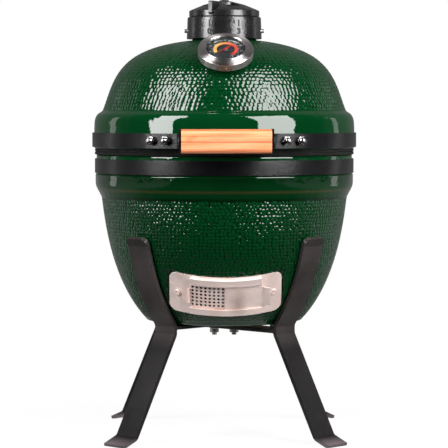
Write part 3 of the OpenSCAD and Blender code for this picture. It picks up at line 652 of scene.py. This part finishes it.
def shell(name, outer, inner, columns, body, pebbles, thin_z=0):
    """Closed ceramic shell of revolution, glazed outside and bare inside.

    outer and inner are outlines that start and end alike. pebbles gives the raised pebbles'
    height range, pitch, relief in the mesh, and share of the glaze's bump. The glaze has run
    thin at the height thin_z; just above it the rim gets painted shade, where the band shades it.
    """
    rng = random.Random(SEED + len(name))
    outline = np.concatenate([outer, inner[1:-1]])
    count, last = len(outline), len(outer) - 1
    turns = np.arange(columns) * 2 * math.pi / columns
    ring = np.stack([np.sin(turns), -np.cos(turns)], 1)
    points = lathe(outline, ring)
    spread = lathe(way_out(outline), ring)
    z_low, z_high = pebbles["range"]
    centres = pebble_centres(outer, z_low, z_high, pebbles["pitch"], rng)
    tree = kdtree.KDTree(len(centres))
    reach = []
    for i, centre in enumerate(centres):
        tree.insert(centre, i)
        reach.append(PEBBLE_REACH * pebbles["pitch"] * rng.uniform(0.84, 1.12))
    tree.balance()
    fade = 4 * MM
    rises = np.clip((outline[:, 1] - z_low + fade) / fade, 0, 1) * np.clip(
        (z_high + fade - outline[:, 1]) / fade, 0, 1)
    rises[last + 1:] = 0
    smooth = points.copy()
    near = np.zeros((count, columns, NEAREST, 4))
    for i in np.flatnonzero(rises):
        for k in range(columns):
            middle = (smooth[i, k] + smooth[min(i + 1, last), (k + 1) % columns]) / 2
            near[i, k] = [
                (*place, reach[which]) for place, which, _ in tree.find_n(middle, NEAREST)]
            rise = max(0.0, *(
                1 - ((smooth[i, k] - near[i, k, j, :3]) ** 2).sum() / near[i, k, j, 3] ** 2
                for j in range(NEAREST)))
            points[i, k] += spread[i, k] * (rise - 1) * pebbles["relief"] * rises[i]
    # The thrown body is a little out of round, always inwards
    wave = np.sin(3 * turns)[None, :, None] * np.cos(5 * turns + 0.7)[None, :, None]
    points[:last + 1] -= spread[:last + 1] * 0.00012 * (1 + wave)
    index = np.arange(count * columns).reshape(count, columns)
    beside = np.roll(index, -1, axis=1)
    quads = np.stack(
        [index, beside, np.roll(beside, -1, axis=0), np.roll(index, -1, axis=0)], 2).reshape(-1, 4)
    made = new_object(
        name, points.reshape(-1, 3), quads.tolist(),
        [LOOKS["glazed_ceramic"], LOOKS["refractory"]], body)
    bare = np.repeat(np.arange(count) >= last, columns).astype(np.int32)
    made.data.polygons.foreach_set("material_index", bare)
    thin = np.exp(-((outline[:, 1] - thin_z) / (1.6 * MM)) ** 2) * (np.arange(count) <= last)
    # Painted shade on the rim just above thin_z, where the lower band shades it
    painted_rim_shade = np.clip(1 - np.abs(outline[:, 1] - thin_z - 14 * MM) / (16 * MM), 0, 1)
    marks = {"pebbled": pebbles["bump_share"] * rises, "thin": 0.8 * thin, "painted_rim_shade": 0.7 * painted_rim_shade}
    for key, values in marks.items():
        attribute = made.data.attributes.new(key, "FLOAT", "POINT")
        attribute.data.foreach_set("value", np.repeat(values, columns).astype(np.float32))
    corners = smooth.reshape(-1, 3)[quads]
    near = near.reshape(-1, NEAREST, 4)
    for j in range(NEAREST):
        gaps = corners - near[:, None, j, :3]
        gaps /= np.maximum(near[:, None, j, 3:], 1e-9)
        gaps[np.repeat(rises, columns) == 0] = 0
        attribute = made.data.attributes.new(f"pebble_{j}", "FLOAT_VECTOR", "CORNER")
        attribute.data.foreach_set("vector", gaps.astype(np.float32).ravel())
    made.modifiers.new("weighted", "WEIGHTED_NORMAL")
    return made


def carve(target, cutter):
    """Cuts one closed mesh out of another and drops the cutter."""
    cut = target.modifiers.new("cut", "BOOLEAN")
    cut.operation = "DIFFERENCE"
    cut.solver = "MANIFOLD"
    cut.object = cutter
    bpy.context.view_layer.update()
    graph = bpy.context.evaluated_depsgraph_get()
    mesh = bpy.data.meshes.new_from_object(target.evaluated_get(graph), depsgraph=graph)
    target.modifiers.remove(cut)
    target.data = mesh
    bpy.data.objects.remove(cutter)


def new_cutter(points, faces):
    mesh = bpy.data.meshes.new("cutter")
    mesh.from_pydata(points, [], faces)
    made = bpy.data.objects.new("cutter", mesh)
    scene.collection.objects.link(made)
    return made


def block(low, high, space):
    """A box in a space of its own, as a cutter."""
    corners = [
        space @ Vector((x, y, z))
        for z in (low[2], high[2]) for y in (low[1], high[1]) for x in (low[0], high[0])]
    return new_cutter(corners, [
        (0, 2, 3, 1), (4, 5, 7, 6), (0, 1, 5, 4), (2, 6, 7, 3), (0, 4, 6, 2), (1, 3, 7, 5)])


def arc_block(r_in, r_out, half_angle, half_h, space, steps=48):
    """A part of a ring centred on -Y, as a cutter."""
    section = [(r_in, -half_h), (r_out, -half_h), (r_out, half_h), (r_in, half_h)]
    points = []
    for i in range(steps + 1):
        a = half_angle * (2 * i / steps - 1)
        points += [space @ Vector((r * math.sin(a), -r * math.cos(a), z)) for r, z in section]
    faces = [
        (4 * i + k, 4 * (i + 1) + k, 4 * (i + 1) + (k + 1) % 4, 4 * i + (k + 1) % 4)
        for i in range(steps) for k in range(4)]
    faces += [(0, 1, 2, 3), tuple(4 * steps + k for k in (3, 2, 1, 0))]
    made = new_cutter(points, faces)
    outwards = bmesh.new()
    outwards.from_mesh(made.data)
    bmesh.ops.recalc_face_normals(outwards, faces=outwards.faces)
    outwards.to_mesh(made.data)
    outwards.free()
    return made


# ---- Ceramic ----

def make_bowl():
    rim_z = BOWL_HIGH.z
    bottom_z = BOWL_LOW.z
    side = curve_points(BOWL_CURVE, np.linspace(0.95, 0.02, 40))
    ledge = np.array([
        [157.6, 304.2], [160.4, 309], [162.6, 314], [163.2, 318], [163.2, 327.2], [163.2, 328.4],
        [161.8, 329.8]]) * MM
    rim = np.array([
        [BASE_RIM_R, rim_z - 4 * MM], [BASE_RIM_R, rim_z], [BASE_RIM_R - 5 * MM, rim_z]])
    foot = np.array([[60 * MM, bottom_z], [88 * MM, bottom_z], [97 * MM, 144.5 * MM]])
    visible = np.concatenate([
        resampled_keep(eased(foot), 4 * MM)[:-1],
        resampled(np.concatenate([foot[-1:], side]), 1.6 * MM)[:-1],
        resampled_keep(eased(np.concatenate([side[-1:], ledge, rim])), 4 * MM)])
    wall_top = LID_R - WALL
    inside = np.concatenate([
        [visible[-1], [wall_top + 3 * MM, rim_z], [wall_top, rim_z - 3 * MM], [wall_top, 322 * MM]],
        curve_offset(BOWL_CURVE, np.linspace(0.0, 0.84, 12), -WALL),
        np.array([[78 * MM, FLOOR_Z], [1 * MM, FLOOR_Z], [1 * MM, bottom_z], visible[0]])])
    pebbles = {
        "range": (150 * MM, 300 * MM), "pitch": 5.0 * MM, "relief": 0.5 * MM, "bump_share": 1.0}
    bowl = shell(
        "ceramic_bowl", visible, resampled_keep(inside, 14 * MM), 500, "base", pebbles, 310 * MM)
    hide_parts("base_bowl")
    # The draft frame's seat, the recess behind its window and the slot through the wall
    carve(bowl, arc_block(SEAT_R, SEAT_R + 15 * MM, SEAT_HALF_ANGLE, 27.85 * MM, DOOR_SPACE))
    for half_width, half_height, depth in ((42, 17.8, 14), (21, 17.5, 50)):
        low = (-half_width * MM, -SEAT_R - 5 * MM, -half_height * MM)
        high = (half_width * MM, -SEAT_R + depth * MM, half_height * MM)
        carve(bowl, block(low, high, DOOR_SPACE))


def make_lid():
    top_z = LID_HIGH.z
    low_z = LID_LOW.z
    collar = np.array([
        [LID_R - 5 * MM, low_z], [LID_R, low_z], [LID_R, low_z + 5 * MM],
        [LID_R - 0.3 * MM, 388 * MM], [LID_R - 1.0 * MM, 398 * MM], [161 * MM, 404.0 * MM],
        [157 * MM, 406.6 * MM], [154 * MM, 408.8 * MM]])
    dome = curve_points(DOME_CURVE, np.linspace(0.1, 1.0, 44))
    neck = np.array([[NECK_R, 497 * MM], [NECK_R, top_z], [CHIMNEY_R + 4 * MM, top_z]])
    visible = np.concatenate([
        resampled_keep(eased(np.concatenate([collar, dome[:1]])), 4 * MM)[:-1],
        resampled(dome, 1.5 * MM)[:-1],
        resampled_keep(eased(np.concatenate([dome[-1:], neck])), 4 * MM)])
    wall_r = LID_R - WALL
    inside = np.concatenate([
        [visible[-1], [CHIMNEY_R, top_z], [CHIMNEY_R, DOME_UNDER_Z]],
        curve_offset(DOME_CURVE, np.linspace(0.86, 0.0, 14), WALL),
        np.array([
            [wall_r, 392 * MM], [wall_r, low_z + 3 * MM], [wall_r + 3 * MM, low_z], visible[0]])])
    pebbles = {
        "range": (411 * MM, 497.5 * MM), "pitch": 5.7 * MM, "relief": 0.42 * MM, "bump_share": 0.72}
    lid = shell("ceramic_lid", visible, resampled_keep(inside, 14 * MM), 540, "lid", pebbles)
    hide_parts("lid_dome")


def make_gasket(node, name, body, seed):
    """A felt strip with soft edges and a lumpy face, inside the CAD ring."""
    low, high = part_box(node)
    r_out, r_in = high.x, high.x - GASKET_WIDTH
    rng = random.Random(SEED + seed)
    soft = 0.8 * MM
    section = np.array([
        [r_in, low.z + soft], [r_in + soft, low.z], [r_out - 1.5 * soft, low.z],
        [r_out - 0.3 * soft, low.z + 0.5 * soft], [r_out, (low.z + high.z) / 2],
        [r_out - 0.3 * soft, high.z - 0.5 * soft], [r_out - 1.5 * soft, high.z],
        [r_in + soft, high.z], [r_in, high.z - soft]])
    columns = 480
    lumps = [
        (rng.randint(9, 70), rng.uniform(0, 6.28), rng.uniform(0.03, 0.11) * MM)
        for _ in range(14)]
    points = []
    for k in range(columns):
        a = 2 * math.pi * k / columns
        dent = sum(depth * (1 + math.sin(n * a + phase)) for n, phase, depth in lumps)
        for r, z in section:
            pulled = r - (dent if r > r_out - 2 * soft else 0)
            points.append((pulled * math.sin(a), -pulled * math.cos(a), z))
    faces = ring_faces(columns, len(section))
    made = new_object(name, points, faces, [LOOKS["felt"]], body)
    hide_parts(node)


# ---- CAD nodes: materials and softened edges ----

def dress_nodes():
    """Gives every CAD node its material, joins its split corners and rounds its edges."""
    for name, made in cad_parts.items():
        slot = NODE_SLOTS[name]
        made.data.materials.clear()
        made.data.materials.append(LOOKS[slot])
        if made.hide_render:
            continue
        smooth_normals(made)
        weld = made.modifiers.new("weld", "WELD")
        weld.merge_threshold = 0.00001
        bevel = made.modifiers.new("bevel", "BEVEL")
        bevel.width = EDGE_WIDTHS.get(slot, OTHER_EDGES) * MM
        bevel.segments = 2
        bevel.limit_method = "ANGLE"
        bevel.angle_limit = math.radians(38)
        bevel.harden_normals = False
        weighted = made.modifiers.new("weighted", "WEIGHTED_NORMAL")
        weighted.keep_sharp = True


def smooth_normals(made):
    """Smooth shading without the imported corner normals."""
    mesh = made.data
    if "custom_normal" in mesh.attributes:
        mesh.attributes.remove(mesh.attributes["custom_normal"])
    mesh.polygons.foreach_set("use_smooth", [True] * len(mesh.polygons))
    mesh.update()


# In millimetres
EDGE_WIDTHS = {
    "stand_powder_coat": 0.8, "band_paint": 0.35, "bamboo": 1.1, "vent_iron": 0.5,
    "stainless": 0.18, "polished_steel": 0.2, "chrome": 0.25, "zinc_steel": 0.25,
    "refractory": 1.2, "cast_iron": 0.6, "wire_steel": 0.1, "dial_face": 0.1, "glass": 0.1,
    "needle_red": 0.05,
}
OTHER_EDGES = 0.3


# ---- Small pieces that the CAD leaves to the looks ----

def flat_arc(r_in, r_out, a_from, a_to, z_low, z_high, steps=64):
    """Points and faces of an arc plate in gauge space; angles from +X, going clockwise."""
    points, faces = [], []
    for i in range(steps + 1):
        a = a_from + (a_to - a_from) * i / steps
        for r, z in ((r_in, z_low), (r_out, z_low), (r_out, z_high), (r_in, z_high)):
            points.append(GAUGE_SPACE @ Vector((r * math.cos(a), r * math.sin(a), z)))
    for i in range(steps):
        for k in range(4):
            faces.append((4 * i + k, 4 * i + 4 + k, 4 * i + 4 + (k + 1) % 4, 4 * i + (k + 1) % 4))
    faces += [(3, 2, 1, 0), tuple(4 * steps + k for k in range(4))]
    return points, faces


def joined(parts):
    """Several (points, faces) as one."""
    points, faces = [], []
    for p, f in parts:
        faces += [tuple(i + len(points) for i in face) for face in f]
        points += p
    return points, faces


def make_bezel():
    """The thermometer's turned ring. It is brushed round its axis, so light fans out in wedges."""
    ring = np.array([
        [33.0, 9.25], [33.8, 9.4], [33.8, 10.0], [32.9, 10.45], [29.5, 11.2], [25.6, 12.2],
        [24.9, 12.75], [24.3, 12.7], [23.9, 12.2], [23.9, 10.9]])
    back = np.array([[23.9, 10.4], [31, 9.25]])
    section = np.concatenate([resampled(eased(ring), 0.5), back]) * MM
    columns = 192
    points = [
        (r * math.cos(2 * math.pi * k / columns), r * math.sin(2 * math.pi * k / columns), z)
        for k in range(columns) for r, z in section]
    made = new_object(
        "brushed_bezel", points, ring_faces(columns, len(section)), [LOOKS["turned_steel"]],
        "lid", space=GAUGE_SPACE)
    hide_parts("thermometer_bezel")


def make_dial():
    """The dial's print: a coloured arc, 40 divisions, eight figures and two lines."""
    z_low, z_high = DIAL_FACE, DIAL_FACE + 0.08 * MM
    start, end = math.radians(210), math.radians(-60)
    points, faces = flat_arc(10.9 * MM, 14.9 * MM, start, end, z_low, z_high)
    arc = new_object(
        "dial_scale_arc", points, faces, [LOOKS["dial_scale"]], "lid", False)
    sweep = arc.data.attributes.new("sweep", "FLOAT", "POINT")
    per_step = len(points) // 4 - 1
    sweep.data.foreach_set("value", [min(1, (i // 4) / per_step) for i in range(len(points))])
    marks = []
    for i in range(41):
        a = start + (end - start) * i / 40
        long_mark = i % 5 == 0
        width = math.radians(1.5 if long_mark else 0.8)
        r_out = (17.7 if long_mark else 16.6) * MM
        marks.append(flat_arc(15.4 * MM, r_out, a + width / 2, a - width / 2, z_low, z_high, 1))
    for centre in (118, 62):
        a = math.radians(centre)
        marks.append(flat_arc(19.2 * MM, 19.9 * MM, a + 0.30, a - 0.30, z_low, z_high, 16))
    points, faces = joined(marks)
    new_object("dial_marks", points, faces, [LOOKS["dial_white"]], "lid", False)
    for i, figure in enumerate(("50", "100", "150", "200", "250", "300", "350", "400")):
        a = start + (end - start) * (i + 0.5) / 8
        spot = Matrix.Translation((19.4 * MM * math.cos(a), 19.4 * MM * math.sin(a), z_low))
        make_figure(
            "dial_figure_" + figure, figure, 2.3 * MM, 0.04 * MM, GAUGE_SPACE @ spot,
            LOOKS["dial_white"], "lid")


def make_figure(name, figure, size, depth, space, material, body, wrap=None, bold=0.0):
    """A raised figure as a mesh, centred on its space's origin and facing its +Z.

    wrap is the radius of the cylinder that it bends round.
    """
    data = bpy.data.curves.new(name, "FONT")
    data.body = figure
    data.size = size
    data.extrude = depth
    data.offset = bold
    data.align_x, data.align_y = "CENTER", "CENTER"
    data.bevel_depth = depth * 0.3
    text = bpy.data.objects.new(name, data)
    scene.collection.objects.link(text)
    bpy.context.view_layer.update()
    graph = bpy.context.evaluated_depsgraph_get()
    mesh = bpy.data.meshes.new_from_object(text.evaluated_get(graph), depsgraph=graph)
    bpy.data.objects.remove(text)
    if wrap:
        for v in mesh.vertices:
            a = v.co.x / wrap
            r = wrap + v.co.z
            v.co = Vector((r * math.sin(a), v.co.y, r * math.cos(a) - wrap))
    mesh.transform(space)
    mesh.materials.clear()
    mesh.materials.append(material)
    made = bpy.data.objects.new(name, mesh)
    scene.collection.objects.link(made)
    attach(made, body)


def round_space(r, a, z):
    """Space on a cylinder: origin at radius r and angle a from the front, Z pointing out."""
    turn = Matrix.Rotation(a, 4, "Z")
    return turn @ Matrix.Translation((0, -r, z)) @ Matrix.Rotation(math.pi / 2, 4, "X")


def bent_pad(width, height, rise, r, a, z, steps=8):
    """A raised pad with sloping edges on a cylinder's front."""
    space = round_space(r, a, z)
    rows = [(1.0, -0.6 * MM), (1.0, 0.35 * rise), (0.86, rise)]
    points, faces = [], []
    for share, lift in rows:
        for i in range(steps + 1):
            for side in (-1, 1):
                b = width / 2 * share * (2 * i / steps - 1) / r
                y = side * (height / 2 - (1 - share) * width / 2)
                lifted = r + lift
                points.append(space @ Vector((lifted * math.sin(b), y, lifted * math.cos(b) - r)))
    n = 2 * (steps + 1)
    for k in range(len(rows) - 1):
        for side in (0, 1):
            for i in range(steps):
                quad = [k * n + 2 * i + side, k * n + 2 * i + 2 + side,
                        (k + 1) * n + 2 * i + 2 + side, (k + 1) * n + 2 * i + side]
                faces.append(tuple(quad if side == 0 else quad[::-1]))
        for end in (0, 2 * steps):
            quad = [k * n + end, k * n + end + 1, (k + 1) * n + end + 1, (k + 1) * n + end]
            faces.append(tuple(quad[::-1] if end == 0 else quad))
    for level, flip in ((0, True), (len(rows) - 1, False)):
        for i in range(steps):
            base = level * n + 2 * i
            quad = [base, base + 2, base + 3, base + 1]
            faces.append(tuple(quad[::-1] if flip else quad))
    return points, faces


def make_vent_scale():
    """Cast scale on the front of the vent ring: four figures, and ticks above them."""
    low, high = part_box("vent_base")
    r = high.x - 0.75 * MM
    figures_z = low.z + 8.2 * MM
    ticks_z = low.z + 18.5 * MM
    pads = []
    for i, degrees in enumerate((-24, -8.2, 7.4, 22)):
        a = math.radians(degrees)
        make_figure(
            f"vent_figure_{i}", str(i), 9.8 * MM, 0.4 * MM,
            round_space(r + 0.25 * MM, a, figures_z), LOOKS["vent_figures"], "lid",
            r, 0.45 * MM)
        pads.append(bent_pad(1.7 * MM, 8.6 * MM, 0.6 * MM, r, a, ticks_z))
    for degrees in (-16, -0.4, 14.7):
        a = math.radians(degrees)
        pads.append(bent_pad(1.5 * MM, 4.6 * MM, 0.5 * MM, r, a, ticks_z + 1.6 * MM))
    points, faces = joined(pads)
    new_object(
        "vent_scale_ticks", points, faces, [LOOKS["vent_figures"]], "lid", False)


def make_weld(name, start, end, radius, body, rng):
    """A weld bead: overlapping ripples along a line."""
    start, end = Vector(start), Vector(end)
    way = (end - start).normalized()
    side = way.orthogonal().normalized()
    up = way.cross(side)
    length = (end - start).length
    rows = max(12, round(length / (0.5 * MM)))
    sides = 12
    ripple = 1.9 * MM
    points, faces = [], []
    for i in range(rows + 1):
        t = i / rows
        swell = math.sqrt(max(0.0, 1 - (2 * t - 1) ** 8))
        swell *= 1 + 0.14 * math.sin(length * t / ripple * 2 * math.pi)
        r = radius * max(0.05, swell) * (1 + rng.uniform(-0.04, 0.04))
        centre = start + way * length * t
        for k in range(sides):
            a = 2 * math.pi * k / sides
            points.append(centre + (side * math.cos(a) + up * math.sin(a)) * r)
    for i in range(rows):
        for k in range(sides):
            n = (k + 1) % sides
            faces.append((i * sides + k, i * sides + n, (i + 1) * sides + n, (i + 1) * sides + k))
    faces.append(tuple(range(sides - 1, -1, -1)))
    faces.append(tuple(rows * sides + k for k in range(sides)))
    new_object(name, points, faces, [LOOKS["stand_powder_coat"]], body)


def make_welds():
    """Beads under the ends of the crossed bars, where they meet the legs."""
    rng = random.Random(SEED + 5)
    reach = 100.4 * MM
    half_w = 15.5 * MM
    names = {45: "back_right", 135: "back_left", 225: "front_left", 315: "front_right"}
    upper_low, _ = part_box("cross_bar_upper")
    lower_low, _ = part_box("cross_bar_lower")
    for degrees, name in names.items():
        a = math.radians(degrees)
        out = Vector((math.cos(a), math.sin(a), 0))
        across = Vector((-math.sin(a), math.cos(a), 0))
        low = upper_low if degrees in (45, 225) else lower_low
        spot = out * reach + Vector((0, 0, low.z + 0.2 * MM))
        make_weld(
            "weld_" + name, spot - across * half_w, spot + across * half_w, 1.9 * MM, "base", rng)


# ---- The scene ----

NODE_SLOTS = {}
for slot_name, nodes in {
    "glazed_ceramic": "base_bowl lid_dome",
    "refractory": "firebox fire_ring",
    "felt": "base_gasket lid_gasket",
    "band_paint": "base_band lid_band hinge_base_bracket hinge_lid_bracket handle_bracket_left "
                  "handle_bracket_right",
    "stand_powder_coat": "leg_front_right leg_back_right leg_back_left leg_front_left "
                         "cross_bar_upper cross_bar_lower",
    "cast_iron": "charcoal_grate vent_disc",
    "vent_iron": "vent_base vent_cap",
    "wire_steel": "cooking_grid",
    "stainless": "draft_frame draft_frame_screws draft_door draft_screen",
    "polished_steel": "thermometer_case thermometer_bezel thermometer_stem thermometer_spindle",
    "zinc_steel": "cross_bolts cross_washers cross_nuts hinge_base_bolts hinge_base_nuts hinge_pin "
                  "hinge_pin_clip hinge_lid_bolts hinge_lid_nuts thermometer_nut vent_pivot_bolt "
                  "vent_set_screws",
    "chrome": "handle_bolts handle_nuts vent_cap_nut",
    "black_screw": "handle_end_screws",
    "bamboo": "handle_bar",
    "dial_face": "thermometer_dial",
    "glass": "thermometer_glass",
    "needle_red": "thermometer_needle",
}.items():
    for node_name in nodes.split():
        NODE_SLOTS[node_name] = slot_name

make_camera()
make_world()
for light_name, settings in LIGHTS.items():
    make_softbox(light_name, *settings)
make_floor()
LOOKS = make_looks()
make_bowl()
make_lid()
make_gasket("base_gasket", "felt_lower", "base", 1)
make_gasket("lid_gasket", "felt_upper", "lid", 2)
dress_nodes()
make_bezel()
make_dial()
make_vent_scale()
make_welds()

bpy.context.view_layer.update()
